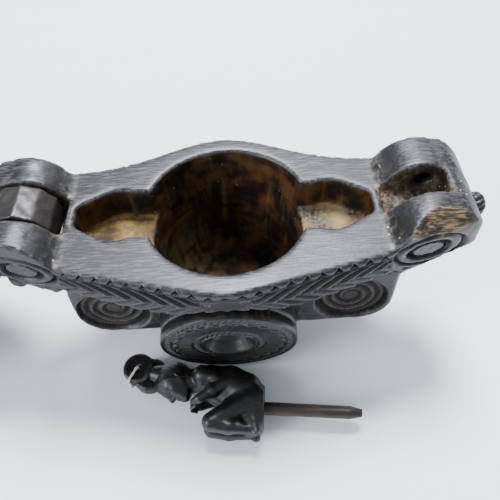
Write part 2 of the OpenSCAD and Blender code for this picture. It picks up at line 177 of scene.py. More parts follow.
def normalsOf(mesh):
    no = np.empty(len(mesh.vertices) * 3, np.float32)
    mesh.vertex_normals.foreach_get("vector", no)
    return no.reshape(-1, 3).astype(float)


def curvatureOf(mesh, rounds=2):
    # how far each point stands out of the mean of its neighbours along its normal, mm, averaged
    edges = np.empty(len(mesh.edges) * 2, np.int32)
    mesh.edges.foreach_get("vertices", edges)
    a, b = edges.reshape(-1, 2).T
    p = coordsOf(mesh)
    count = np.bincount(np.r_[a, b], minlength=len(p))[:, None]

    def mean(values):
        total = np.zeros_like(values)
        for k in range(values.shape[1]):
            total[:, k] = np.bincount(np.r_[a, b], np.r_[values[b, k], values[a, k]], minlength=len(values))
        return total / np.maximum(count, 1)

    bend = ((p - mean(p)) * normalsOf(mesh)).sum(1, keepdims=True)
    for _ in range(rounds):
        bend = 0.5 * bend + 0.5 * mean(bend)
    return bend[:, 0]


def polygonValues(mesh, key):
    values = np.empty(len(mesh.polygons) * 3, np.float32)
    mesh.polygons.foreach_get(key, values)
    return values.reshape(-1, 3).astype(float)


def evenSkin(source, voxel, rounds):
    # one even skin of small quads over a closed mesh, then relaxed a few times
    work = bpy.data.objects.new("work", source)
    bpy.context.scene.collection.objects.link(work)
    remesh = work.modifiers.new("skin", "REMESH")
    remesh.mode = "VOXEL"
    remesh.voxel_size = voxel * mm
    relax = work.modifiers.new("relax", "SMOOTH")
    relax.factor = 0.5
    relax.iterations = rounds
    ready = work.evaluated_get(bpy.context.evaluated_depsgraph_get())
    mesh = bpy.data.meshes.new_from_object(ready)
    bpy.data.objects.remove(work)
    return mesh


def refine(mesh, fields):
    # cuts the chosen quads finer; a field is a mask over the polygons and its number of cuts
    bm = bmesh.new()
    bm.from_mesh(mesh)
    bm.faces.ensure_lookup_table()
    groups = []
    for mask, cuts in fields:
        groups.append((set(e for k in np.flatnonzero(mask) for e in bm.faces[k].edges), cuts))
    taken = set()
    for edges, cuts in groups:
        edges = [e for e in edges if e not in taken]
        taken.update(edges)
        bmesh.ops.subdivide_edges(bm, edges=edges, cuts=cuts, use_grid_fill=True)
    bmesh.ops.triangulate(bm, faces=[f for f in bm.faces if len(f.verts) > 4])
    bm.to_mesh(mesh)
    bm.free()


def frontWidth(x):
    s = bodyShape
    return s["halfWidth"] - s["frontSlope"] * (np.hypot(x, s["peakRound"]) - s["peakRound"])


def lowWidth(x):
    # half width of the band's lower front edge: flat in the middle, then a slope with a rounded start
    s = bodyShape
    beyond = np.maximum(np.abs(x) - s["bandFlat"], 0)
    run = np.hypot(beyond, s["lowRound"]) - s["lowRound"]
    return s["halfWidth"] - s["lowSetBack"] - s["lowSlope"] * run


def backWidth(x):
    s = bodyShape
    return s["backEnd"] + (s["halfWidth"] - s["backEnd"]) * np.exp(-(np.asarray(x) / s["backRun"]) ** 2)


def bandFace(p, n):
    # how surely a point lies on the band's front or back face, and its way down from the upper edge
    s = bodyShape
    x, y, z = p.T
    v = s["top"] - z
    share = np.clip(v / s["bandHeight"], 0, 1)
    front = -(frontWidth(x) * (1 - share) + lowWidth(x) * share)
    front = np.where(np.abs(x) > s["rollStart"], -frontWidth(x), front)
    back = backWidth(x) * (1 - (1 - s["bandTaper"]) * share)
    onFront = fall(np.abs(y - front), 0.6, 1.1) * step(-n[:, 1], 0.4, 0.75) * (y < -8)
    onBack = fall(np.abs(y - back), 0.6, 1.1) * step(n[:, 1], 0.4, 0.7) * (y > 8) * (np.abs(x) < 36.4)
    return np.maximum(onFront, onBack) * (v > -0.6) * (v < 10.5), v


# camera, floor and light

cameraSetup = {"place": (5.616, -82.8, 138.018), "elevation": 52.46, "azimuth": 0.08, "roll": -3.05,
               "lens": 37.6}
studio = {"floor": "#f6f8f8", "sky": "#dfe8f0", "skyStrength": 0.8, "lamp": "#eef2fc",
          "keyPlace": (0.02, 0.38, 0.86), "keySize": 0.34, "keyPower": 26.0,
          "rearPlace": (0.35, 0.95, 0.62), "rearSize": 0.9, "rearPower": 5.0,
          "sidePlace": (-0.62, -0.3, 0.42), "sideSize": 0.4, "sidePower": 6.0}


def makeCamera():
    # right and up are turned by the roll about the line of sight
    s = cameraSetup
    e, a, r = (np.radians(s[k]) for k in ("elevation", "azimuth", "roll"))
    ahead = np.array([np.sin(a) * np.cos(e), np.cos(a) * np.cos(e), -np.sin(e)])
    right = np.array([np.cos(a), -np.sin(a), 0])
    up = np.cross(right, ahead)
    turnedRight = np.cos(r) * right + np.sin(r) * up
    turnedUp = -np.sin(r) * right + np.cos(r) * up
    data = bpy.data.cameras.new("camera")
    data.lens = s["lens"]
    data.sensor_width = 36
    data.clip_start = 0.005
    camera = bpy.data.objects.new("camera", data)
    bpy.context.scene.collection.objects.link(camera)
    turn = Matrix((turnedRight, turnedUp, -ahead)).transposed().to_4x4()
    camera.matrix_world = Matrix.Translation(Vector(s["place"]) * mm) @ turn
    bpy.context.scene.camera = camera


def aimedPanel(name, place, size, power):
    data = bpy.data.lights.new(name, "AREA")
    data.shape = "DISK"
    data.size = size
    data.energy = power
    data.color = srgb(studio["lamp"])[:3]
    lamp = bpy.data.objects.new(name, data)
    bpy.context.scene.collection.objects.link(lamp)
    aim = (Vector((0, 0, 0.03)) - Vector(place)).to_track_quat("-Z", "Y")
    lamp.matrix_world = Matrix.Translation(place) @ aim.to_matrix().to_4x4()


def makeStudio():
    s = studio
    world = bpy.data.worlds.new("studio")
    bpy.context.scene.world = world
    world.use_nodes = True
    back = world.node_tree.nodes["Background"]
    back.inputs["Color"].default_value = srgb(s["sky"])
    back.inputs["Strength"].default_value = s["skyStrength"]
    aimedPanel("key", s["keyPlace"], s["keySize"], s["keyPower"])
    aimedPanel("rear", s["rearPlace"], s["rearSize"], s["rearPower"])
    aimedPanel("side", s["sidePlace"], s["sideSize"], s["sidePower"])
    paper = bpy.data.materials.new("matteWhitePaper")
    paper.use_nodes = True
    shader = paper.node_tree.nodes["Principled BSDF"]
    shader.inputs["Base Color"].default_value = srgb(s["floor"])
    shader.inputs["Roughness"].default_value = 0.7
    corners = np.array([[-1500, -1500, 0], [1500, -1500, 0], [1500, 1500, 0], [-1500, 1500, 0]]) * mm
    mesh = bpy.data.meshes.new("floor")
    mesh.from_pydata(corners.tolist(), [], [(0, 1, 2, 3)])
    mesh.materials.append(paper)
    floor = bpy.data.objects.new("floor", mesh)
    bpy.context.scene.collection.objects.link(floor)
    floor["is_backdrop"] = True


makeCamera()
makeStudio()
print("camera and studio ready")


# the woods

def newMaterial(name):
    material = bpy.data.materials.new(name)
    material.use_nodes = True
    tree = material.node_tree
    return material, tree, tree.nodes["Principled BSDF"]


# the pale grey #5a595b serves rubbed wear and painted sheen: painted glint streaks on the top plate and
# painted highlights on convex edges; the near black #050404 is painted shade in concave creases
woodLook = {
    "black": "#0b0a0a", "grey": "#1e1c1c", "deep": "#050404", "wearAndPaintedSheen": "#5a595b", "well": "#1c140c",
    "wellBrown": "#4e3318", "amber": "#7d6034", "olive": "#7f7350", "pocket": "#3d2e1e",
    "pocketGold": "#987c48", "ochre": "#8a7250", "raw": "#352820", "dust": "#7d776a", "fleck": "#b8a77c",
    "grainWidth": 0.2, "grainLength": 3.2,
}


def ebonyWood(name, roughness=0.4, grain=1.0, brown=0.0):
    # Ebony, cut with gouges, oiled and rubbed by hands: near black, a cool satin sheen, fine pores.
    # Points may carry where the wood differs and where light is painted: well and slot (bare dark brown),
    # stain (olive streaks in the well), pocket and floor (golden brown), top (brushed lengthwise, with
    # painted glint streaks), dish (dull and dark), groove (dull, with painted crease shade), edge (rubbed
    # wear with a painted highlight), dust (in creases), fleck (pale chips), bare (worn).
    look = woodLook
    material, tree, shader = newMaterial(name)
    place = addNode(tree, "ShaderNodeTexCoord").outputs["Object"]
    thin = 1000 / look["grainWidth"] / 2
    lengthwise = (1000 / look["grainLength"], thin, thin)
    along = addNode(tree, "ShaderNodeMapping", inputs={"Vector": place, "Scale": lengthwise})
    upright = addNode(tree, "ShaderNodeMapping", inputs={"Vector": place, "Scale": (420.0, 420.0, 70.0)})

    def cloud(vector, scale, detail=3.0):
        inputs = {"Vector": vector, "Scale": scale, "Detail": detail}
        return addNode(tree, "ShaderNodeTexNoise", inputs=inputs).outputs[0]

    pores = cloud(along.outputs[0], 1.0)
    streaks = cloud(upright.outputs[0], 1.0)
    blotch = cloud(place, 150.0, 4.0)
    patch = cloud(place, 55.0)
    speck = cloud(place, 1100.0, 2.0)

    def point(key):
        return addNode(tree, "ShaderNodeAttribute", {"attribute_name": key}).outputs["Fac"]

    def ramp(value, low, high, top=1.0):
        return addNode(tree, "ShaderNodeMapRange", {"interpolation_type": "SMOOTHSTEP"},
                       {0: value, 1: low, 2: high, 3: 0.0, 4: top}).outputs[0]

    def mix(amount, first, second):
        node = addNode(tree, "ShaderNodeMix", {"data_type": "RGBA"})
        for key, value in ((0, amount), (6, first), (7, second)):
            if isinstance(value, bpy.types.NodeSocket):
                tree.links.new(value, node.inputs[key])
            else:
                node.inputs[key].default_value = value
        return node.outputs[2]

    def reckon(kind, a, b, c=0.0):
        return addNode(tree, "ShaderNodeMath", {"operation": kind}, {0: a, 1: b, 2: c}).outputs[0]

    colour = mix(ramp(pores, 0.35, 0.7), srgb(look["black"]), srgb(look["grey"]))
    # painted glint: upward faces of the top plate turn pale grey along the pores, a painted reflection in
    # streaks
    colour = mix(reckon("MULTIPLY", point("top"), ramp(pores, 0.45, 0.7, 0.5)), colour, srgb(look["wearAndPaintedSheen"]))
    inside = mix(ramp(blotch, 0.42, 0.66), srgb(look["well"]), srgb(look["wellBrown"]))
    inside = mix(ramp(streaks, 0.5, 0.85, 0.4), inside, srgb(look["amber"]))
    stained = mix(ramp(streaks, 0.35, 0.6), srgb(look["wellBrown"]), srgb(look["olive"]))
    inside = mix(point("stain"), inside, stained)
    colour = mix(point("well"), colour, inside)
    colour = mix(reckon("MULTIPLY", point("dish"), 0.3), colour, inside)
    lint = reckon("MULTIPLY", ramp(blotch, 0.35, 0.7), ramp(speck, 0.3, 0.75, 0.6))
    colour = mix(reckon("MULTIPLY", point("slot"), 0.75), colour, mix(lint, inside, srgb(look["dust"])))
    golden = mix(ramp(blotch, 0.36, 0.68), srgb(look["pocket"]), srgb(look["pocketGold"]))
    golden = mix(ramp(speck, 0.45, 0.7, 0.5), golden, srgb(look["pocket"]))
    colour = mix(point("pocket"), colour, mix(point("floor"), inside, golden))
    # rubbed wear with a painted highlight: convex edges lighten to pale grey, broken by specks
    colour = mix(reckon("MULTIPLY", point("edge"), ramp(speck, 0.3, 0.6, 0.6)), colour, srgb(look["wearAndPaintedSheen"]))
    colour = mix(reckon("MULTIPLY", point("dust"), ramp(speck, 0.3, 0.8)), colour, srgb(look["dust"]))
    # painted shade: concave creases darken towards near black
    colour = mix(reckon("MULTIPLY", point("groove"), 0.75), colour, srgb(look["deep"]))
    bare = mix(ramp(pores, 0.4, 0.66), srgb(look["raw"]), srgb(look["ochre"]))
    colour = mix(point("bare"), colour, bare)
    if brown:
        stain = mix(ramp(streaks, 0.35, 0.7), srgb(look["wellBrown"]), srgb(look["pocket"]))
        colour = mix(reckon("MULTIPLY", ramp(blotch, 0.2, 0.7), brown), colour, stain)
    chip = addNode(tree, "ShaderNodeTexVoronoi", inputs={"Vector": place, "Scale": 620.0})
    near = reckon("LESS_THAN", chip.outputs["Distance"], 0.17)
    chance = addNode(tree, "ShaderNodeSeparateColor", inputs={0: chip.outputs["Color"]}).outputs[0]
    flecks = reckon("MULTIPLY", reckon("MULTIPLY", near, ramp(chance, 0.72, 0.74)), point("fleck"))
    colour = mix(flecks, colour, srgb(look["fleck"]))
    tree.links.new(colour, shader.inputs["Base Color"])
    dull = reckon("MAXIMUM", reckon("MAXIMUM", point("well"), point("pocket")), point("slot"))
    shine = addNode(tree, "ShaderNodeMapRange", inputs={0: patch, 1: 0.3, 2: 0.7, 3: roughness - 0.05,
                                                        4: roughness + 0.08}).outputs[0]
    shine = reckon("MULTIPLY_ADD", dull, 0.3, shine)
    shine = reckon("MULTIPLY_ADD", reckon("MAXIMUM", point("groove"), point("dish")), 0.25, shine)
    sheen = reckon("MULTIPLY_ADD", reckon("MAXIMUM", dull, point("groove")), -0.3, 0.45)
    tree.links.new(sheen, shader.inputs["Specular IOR Level"])
    tree.links.new(shine, shader.inputs["Roughness"])
    brushed = reckon("MULTIPLY", pores, reckon("MULTIPLY_ADD", point("top"), 0.7, 0.15))
    bumps = addNode(tree, "ShaderNodeBump", inputs={"Height": brushed, "Strength": 0.4 * grain,
                                                    "Distance": 0.0002})
    bumps = addNode(tree, "ShaderNodeBump", inputs={"Height": speck, "Strength": 0.12, "Distance": 0.0002,
                                                    "Normal": bumps.outputs[0]})
    tree.links.new(bumps.outputs[0], shader.inputs["Normal"])
    return material


ebony = ebonyWood("ebonyCarvedAndOiled")
polishedEbony = ebonyWood("ebonyTurnedAndWaxed", 0.34, 0.4)
handledEbony = ebonyWood("ebonyCarvedAndHandled", 0.36, 0.1)
wornEbony = ebonyWood("ebonyWornAtTheHinge", 0.4, 1.0, 0.16)
rawEbony = ebonyWood("ebonySapwoodBare", 0.6, 1.0, 0.8)
paleDowel = ebonyWood("hardwoodDowelStained", 0.5, 0.8, 0.5)


# the body, carved all over

carving = {
    "voxel": 0.74, "smoothRounds": 4, "voluteX": 46.0, "voluteZ": 44.4, "voluteW": 8.6, "voluteH": 4.6,
    "grooveDepth": 1.35, "dishX": 29.4, "rightDishX": 30.5, "dishZ": 25.2, "dishY": -14.0, "dishR": 8.9,
    "dishDepth": 2.2, "ridgePitch": 2.3, "wearX": 1.0, "wearRise": 4.1, "wearR": 18.0, "wearTilt": 52.0,
}
rosette = {
    "centre": (-0.7, -21.7, 20.0), "tilt": 8.7, "r": 17.2, "t": 3.0, "cupR": 6.6, "cupDepth": 4.2,
    "ropeIn": (7.4, 9.0), "ropeOut": (14.6, 16.2), "hatchDepth": 0.16, "ropeDepth": 0.4, "chipDepth": 0.5,
}
frieze = {
    "pitch": 4.1, "chipPitch": 3.5, "chipHalf": 1.05, "chipTip": 0.15, "chipBase": 1.25, "chipDepth": 0.8,
    "line": 1.75, "vertex": 5.5, "strandRun": 8.0, "leafRun": 6.6, "strandDepth": 0.75, "leafDepth": 0.6,
    "bareHalf": 5.8, "bareLow": 8.2, "end": 36.9,
}


def rollFrame(side):
    # origin on a roll's front face, its sideways, upward and outward directions
    slope = np.arctan(bodyShape["frontSlope"])
    origin = np.array([side * carving["voluteX"], -frontWidth(carving["voluteX"]), carving["voluteZ"]])
    along = np.array([np.cos(slope), side * np.sin(slope), 0])
    out = np.array([side * np.sin(slope), -np.cos(slope), 0])
    return origin, along, np.array([0, 0, 1.0]), out


def dishFrame(side):
    across = carving["rightDishX"] if side > 0 else -carving["dishX"]
    origin = np.array([across, carving["dishY"], carving["dishZ"]])
    return origin, np.array([1.0, 0, 0]), np.array([0, 0, 1.0]), np.array([0, -1.0, 0])


def plug(where, halfW, halfH, depth, count=48):
    # an oval disc that fills a plain groove of the solid: two capped rings, its front just below the face
    origin, along, up, out = where
    t = np.linspace(0, 2 * np.pi, count, endpoint=False)
    ring = origin + np.outer(halfW * np.cos(t), along) + np.outer(halfH * np.sin(t), up)
    points = np.concatenate([ring - 0.01 * out, ring - depth * out])
    sides = [(i, (i + 1) % count, count + (i + 1) % count, count + i) for i in range(count)]
    return points, sides + [tuple(range(count))[::-1], tuple(range(count, 2 * count))]


def voluteCut(u, w):
    # depth of a volute: a broad groove round a flat eye, a ring, and a thin outer groove that fades upwards
    c = carving
    r = np.hypot(u / c["voluteW"], w / c["voluteH"])
    turn = np.arctan2(w / c["voluteH"], u / c["voluteW"])
    inner = r + 0.04 * np.cos(turn - 0.6)
    broad = step(inner, 0.40, 0.47) * fall(inner, 0.56, 0.66)
    eye = 0.35 * fall(inner, 0.38, 0.45)
    ring = 0.22 * (1 - hump(inner, 0.79, 0.12)) * fall(r, 0.95, 1.02) * step(inner, 0.5, 0.6)
    thin = hump(r, 0.98, 0.06) * (0.55 - 0.35 * np.sin(turn))
    return c["grooveDepth"] * (broad + eye + ring + thin)


def dishCut(u, w, side):
    # depth of a side scroll: a bowl whose low ridges wind towards an eye
    c = carving
    r = np.hypot(u, w)
    turn = (np.arctan2(w, side * u) / (2 * np.pi)) % 1
    ridge = hump((r / c["ridgePitch"] + turn) % 1, 0.5, 0.22)
    ridge = ridge * step(r, 1.4, 2.4) * fall(r, c["dishR"] - 0.9, c["dishR"])
    bowl = fall(r, c["dishR"] - 0.6, c["dishR"] + 0.5) * (c["dishDepth"] - 0.7 * ridge)
    return bowl - 0.5 * fall(r, 1.2, 2.2)


def friezeCut(x, v):
    # depth of the carved band, the same on both sides of the middle; v is the way down from its upper edge.
    # Three-cornered chips, a thin line, strands whose grooves sweep up and outwards as 1 - t ^ (2/3), leaves
    # whose grooves sweep down and outwards from the same points, and a bare half oval in the middle.
    f = frieze
    a = np.abs(x)
    sag = hump(a, 0, 8)
    near = np.abs((a + f["chipPitch"] / 2) % f["chipPitch"] - f["chipPitch"] / 2)
    down = (v - 0.7 * sag - f["chipTip"]) / (f["chipBase"] - f["chipTip"])
    chip = step(f["chipHalf"] * np.clip(down, 0, 1) - near, -0.05, 0.3)
    chip = chip * fall(down, 0.95, 1.15) * fall(a, 35.5, 36)
    lineAt = f["line"] + 0.75 * sag
    line = 0.45 * hump(v, lineAt, 0.17)
    t = np.clip((v - lineAt) / (f["vertex"] + 0.3 - lineAt), 0, 1)
    part = ((a - f["strandRun"] * (1 - t ** 0.667)) / f["pitch"]) % 1
    strand = f["strandDepth"] * (1 - np.minimum(part / 0.3, (1 - part) / 0.7) ** 0.7)
    strand += 0.14 * hump(part, 0.62, 0.06)
    t = np.clip((v - f["vertex"]) / (9 - f["vertex"]), 0, 1)
    part = ((a - f["leafRun"] * t ** 1.1) / f["pitch"]) % 1
    leaf = f["leafDepth"] * (1 - np.minimum(part / 0.62, (1 - part) / 0.38) ** 0.6)
    leaf += 0.7 * step(v, 8.75 - 0.9 * (2 * part - 1) ** 2, 9.3 - 0.9 * (2 * part - 1) ** 2)
    low = step(v, f["vertex"] - 0.2, f["vertex"] + 0.3)
    oval = np.hypot(a / f["bareHalf"], np.maximum(v - 2.2, 0) / (f["bareLow"] - 2.2))
    rows = (1 - low) * strand * fall(a, f["end"], f["end"] + 0.8) + low * leaf * fall(a, 41, 43)
    rows = rows * step(oval, 1.0, 1.1) * step(v, lineAt + 0.1, lineAt + 0.5)
    rows = rows + 0.5 * hump(oval, 1.0, 0.05) * (v > 2.2)
    onRoll = step(a, f["end"], f["end"] + 0.8)
    return f["chipDepth"] * chip + line * (1 - onRoll) + rows * (1 - onRoll * fall(v, 7.2, 7.8))


def wearOf(p):
    # 1 on the hollow worn into the right roll, a round bar laid along the slope, and 0 away from it
    c = carving
    origin, along, up, out = rollFrame(1)
    d = p - origin
    tilt = np.radians(c["wearTilt"])
    across = d @ along - c["wearX"]
    deep = (d @ up - c["wearRise"]) * np.cos(tilt) + (d @ out) * np.sin(tilt)
    return fall(np.abs(np.hypot(across, deep - c["wearR"]) - c["wearR"]), 0.25, 0.6), across


def carvedBody():
    s, c = bodyShape, carving
    # a merged copy of the solid with its plain grooves filled, made one even skin of small quads
    bm = mergedCopy("body")
    for side in (-1, 1):
        for points, faces in (plug(rollFrame(side), 8.2, 4.2, 1.7), plug(dishFrame(side), 8.85, 8.85, 2.4)):
            made = [bm.verts.new(p * mm) for p in points]
            new = [bm.faces.new([made[i] for i in f]) for f in faces]
            bmesh.ops.recalc_face_normals(bm, faces=new)
    source = bpy.data.meshes.new("bodySource")
    bm.to_mesh(source)
    bm.free()
    mesh = evenSkin(source, c["voxel"], c["smoothRounds"])

    # the carved fields get finer quads
    centre = polygonValues(mesh, "center") / mm
    normal = polygonValues(mesh, "normal")
    fields = []
    for side in (-1, 1):
        for where, halfW, halfH, cuts in ((rollFrame(side), 9.6, 6.0, 2), (dishFrame(side), 9.8, 9.8, 1)):
            origin, along, up, out = where
            d = centre - origin
            near = (np.abs(d @ along) < halfW) & (np.abs(d @ up) < halfH) & (np.abs(d @ out) < 0.8)
            fields.append((near & (normal @ out > 0.6), cuts))
    onFace, v = bandFace(centre, normal)
    fields.append(((onFace > 0.3) & (v > -0.4) & (v < 9.4) & (np.abs(centre[:, 0]) < 42), 2))
    refine(mesh, fields)

    p = coordsOf(mesh)
    n = normalsOf(mesh)
    x, y, z = p.T
    far = np.abs(x)
    moved = p.copy()
    for side in (-1, 1):
        for where, cut in ((rollFrame(side), lambda u, w: voluteCut(side * u, w)),
                           (dishFrame(side), lambda u, w: dishCut(u, w, side))):
            origin, along, up, out = where
            d = p - origin
            u, w, h = d @ along, d @ up, d @ out
            face = step(n @ out, 0.55, 0.85) * step(h, -1.2, -0.6) * fall(h, 1.0, 1.3)
            moved -= np.outer(cut(u, w) * face * (np.abs(u) < 11) * (np.abs(w) < 11), out)
    onBand, v = bandFace(p, n)
    cut = friezeCut(x, v) * onBand * step(v, -0.3, 0.1) * fall(v, 9.3, 9.8) * fall(far, 42, 43)
    moved -= n * cut[:, None]

    # gouge marks: broad facets on the rolls, short chatter round the well, faint waves elsewhere
    onRoll = step(far, s["rollStart"] - 0.5, s["rollStart"] + 1.5)
    wellAway = np.hypot(x - s["wellX"], y - s["wellY"])
    outward = ((x - s["wellX"]) * n[:, 0] + (y - s["wellY"]) * n[:, 1]) / np.maximum(wellAway, 1)
    inWell = fall(wellAway, s["wellR"], s["wellR"] + 0.9) * fall(z, s["top"] - 1.2, s["top"] - 0.3)
    inWell = inWell * fall(outward, 0.1, 0.4) * (n[:, 2] > -0.5) * (z > s["top"] - s["wellDepth"] - 1.5)
    angle = np.arctan2(y - s["wellY"], x - s["wellX"])
    wound = np.stack([angle * 3.2, z / 1.5, wellAway * 0.1], -1)
    plain = (1 - onRoll) * (1 - inWell) * (1 - onBand)
    marks = onRoll * (0.07 * noise(p, 1.4, 1) + 0.10 * noise(p, 3.6, 2) - 0.1) * step(z, 37, 40)
    marks += inWell * (0.20 * noise(wound, 1.0, 3) + 0.18 * noise(p, 4.0, 4))
    below = fall(z, s["top"] - 0.6, s["top"] - 0.2)
    marks += plain * below * (0.08 * noise(p, 2.2, 5) + 0.07 * noise(p, 5.0, 6))
    moved += n * marks[:, None]
    # the seat behind the rosette lies a little deeper than its back
    seatOut = np.array([0, -np.cos(np.radians(rosette["tilt"])), -np.sin(np.radians(rosette["tilt"]))])
    d = p - rosette["centre"]
    height = d @ seatOut
    away = np.linalg.norm(d - np.outer(height, seatOut), axis=1)
    seat = fall(away, 14.0, 15.5) * step(height, -8, -7) * step(n @ seatOut, 0.4, 0.8) * (y < -12)
    moved -= np.outer(0.5 * seat, seatOut)
    moved[:, 2] = np.maximum(moved[:, 2], 0)
    putCoords(mesh, moved)

    bend = curvatureOf(mesh)
    pocketFloor = s["top"] - s["pocketDepth"]
    inPocket = (far > 14) * (far < 36) * (np.abs(y) < 8.4) * (z > pocketFloor - 1)
    inPocket = inPocket * fall(z, s["top"] - 1.0, s["top"] - 0.2)
    half = np.where(x > 0, s["slotHalf"], s["hingeSlotHalf"])
    inSlot = (far > s["rollStart"] - 0.4) * (far < s["slotEnd"] + 0.6) * (z > 36)
    inSlot = inSlot * fall(np.abs(y), half - 0.1, half + 0.5)
    dishAway = np.hypot(x - np.where(x > 0, c["rightDishX"], -c["dishX"]), z - c["dishZ"])
    inDish = fall(dishAway, c["dishR"] - 0.8, c["dishR"]) * (y < -11)
    worn, across = wearOf(p)
    worn = worn * (x > 36) * step(noise(p * (0.3, 1, 1), 1.1, 8) + 0.6, 0.1, 0.9)
    worn = worn * fall(np.abs(across + 0.5), 6, 8)
    inV = hump(far, s["rollStart"], 1.3) * step(z, s["top"] - 5, s["top"] - 2) * (1 - inSlot) * (1 - onBand)
    flat = step(n[:, 2], 0.6, 0.9)
    slotLint = 0.7 * inSlot * (x > 0) * step(n[:, 2], 0.5, 0.9) * step(noise(p, 2.0, 16), -0.6, 0.4)
    vDust = 0.7 * inV * step(noise(p, 1.1, 15), -0.4, 0.3)
    rollFlecks = hump(x, 53.5, 3) * (y > -7) * (z > 44)
    finishPiece("carvedBody", mesh, ebony, "body", "body", {
        "well": inWell * (1 - inPocket),
        "stain": 0.9 * inWell * hump(x, -12, 7) * fall(z, 12, 34),
        "pocket": inPocket,
        "floor": inPocket * flat,
        "slot": inSlot,
        "dish": inDish,
        # upward faces of the top plate: a brushed bump, and painted glint streaks in the colour
        "top": step(n[:, 2], 0.75, 0.95) * step(z, s["top"] - 0.5, s["top"] - 0.15),
        # convex edges: rubbed wear with a painted highlight
        "edge": step(bend, 0.03, 0.1),
        # concave creases: painted shade, and duller
        "groove": step(-bend, 0.012, 0.05) * (1 - inPocket) * (1 - inSlot),
        "dust": slotLint + np.maximum(vDust, 0.8 * inPocket * (x > 0) * flat),
        "fleck": 0.9 * (np.maximum(rollFlecks, 0.8 * inV) + 0.5 * onBand * hump(x, 2, 9)
                        + 0.3 * inWell * step(z, 26, 44)),
        "bare": 0.85 * worn,
    })


carvedBody()

# the rosette and the two rope-carved knobs

knobs = {"r": 3.0, "reach": 2.8, "strands": 9, "grooveDepth": 0.4, "rightBase": (58.0, -1.2, 45.0),
         "rightSeat": 0.8, "leftSeat": 2.8}


def revolvedFaces(rows, cols):
    # quads of a closed surface of rings from pole to pole; the two poles are the last two points
    quads = gridFaces(rows, cols, True)
    c = np.arange(cols)
    first = np.stack([c, (c + 1) % cols, np.full(cols, rows * cols)], -1)[:, ::-1]
    last = np.stack([c, (c + 1) % cols, np.full(cols, rows * cols + 1)], -1)
    last = last + np.array([1, 1, 0]) * (rows - 1) * cols
    return quads.tolist() + first.tolist() + last.tolist()


def makeRosette():
    # a disc as rings: (r, angle) on the face, whose height is a sum of carved rows, then the rim and the back
    k = rosette
    rs = np.r_[np.linspace(0.15, k["cupR"] - 0.05, 26), np.linspace(k["cupR"] + 0.1, k["r"] - 0.35, 96)]
    angle = np.linspace(0, 2 * np.pi, 420, endpoint=False)
    r, a = np.meshgrid(rs, angle, indexing="ij")
    ropes = 0
    for (low, high), count in ((k["ropeIn"], 34), (k["ropeOut"], 60)):
        ring = step(r, low, low + 0.25) * fall(r, high - 0.25, high)
        twist = np.abs(np.sin(0.5 * (count * a + 1.8 * (r - low))))
        crown = 1 - (2 * (r - low) / (high - low) - 1) ** 4
        ropes = ropes + ring * k["ropeDepth"] * (1 - twist ** 0.6 * crown)
    lines = sum(0.35 * hump(r, at, 0.12) for at in (7.2, 9.2, 14.4, 16.4))
    hatch = k["hatchDepth"] * (1 - np.abs(np.sin(66 * a)) ** 0.8) * step(r, 9.5, 9.9) * fall(r, 12.6, 12.9)
    near = np.abs((a * 24 / np.pi) % 2 - 1)
    chips = k["chipDepth"] * step(1 - near - 0.75 * (14.2 - r), 0, 0.3)
    chips = chips * step(r, 13.0, 13.1) * fall(r, 14.1, 14.25)
    h = -(ropes + lines + hatch + chips) - 0.02
    slope = (k["cupR"] - r) / (0.38 * k["cupR"])
    cup = -k["cupDepth"] * np.clip(slope, 0, 1) ** 0.9 - 0.25 * hump(r, 5.0, 0.2)
    h = np.where(r < k["cupR"], cup, h)
    rim = [(k["r"] - 0.12, -0.18), (k["r"], -0.5), (k["r"], -k["t"] + 0.3), (k["r"] - 0.3, -k["t"]),
           (0.3, -k["t"] - 1.6)]
    r = np.concatenate([r] + [np.full((1, len(angle)), q[0]) for q in rim])
    h = np.concatenate([h] + [np.full((1, len(angle)), q[1]) for q in rim])
    a = np.broadcast_to(angle, r.shape)
    flat = np.stack([r * np.cos(a), r * np.sin(a), h], -1).reshape(-1, 3)
    flat = np.concatenate([flat, [(0, 0, -k["cupDepth"])], [(0, 0, -k["t"] - 1.6)]])
    flat[:, 2] += 0.05 * noise(flat, 2.0, 12) * (flat[:, 2] > -0.9)
    t = np.radians(k["tilt"])
    axes = np.array([(1, 0, 0), (0, -np.sin(t), np.cos(t)), (0, -np.cos(t), -np.sin(t))])
    points = np.array(k["centre"]) + flat @ axes
    dusty = step(-flat[:, 2], 0.25, 0.45) * (flat[:, 2] > -0.9) * step(noise(points, 1.2, 13), -0.2, 0.4)
    chipped = step(np.hypot(flat[:, 0], flat[:, 1]), 15.8, 16.6) * (flat[:, 0] > 4)
    chipped = chipped * step(noise(points, 0.9, 14), 0.42, 0.5)
    mesh = newMesh("carvedRosette", points, revolvedFaces(r.shape[0], r.shape[1]))
    finishPiece("carvedRosette", mesh, polishedEbony, "body", "rosette", {
        "dust": 0.3 * dusty,
        "bare": 0.6 * chipped * (flat[:, 1] > 1),
        "fleck": 0.9 * step(np.abs(flat[:, 0]), 10, 15) * step(flat[:, 1], -4, 2),
    })


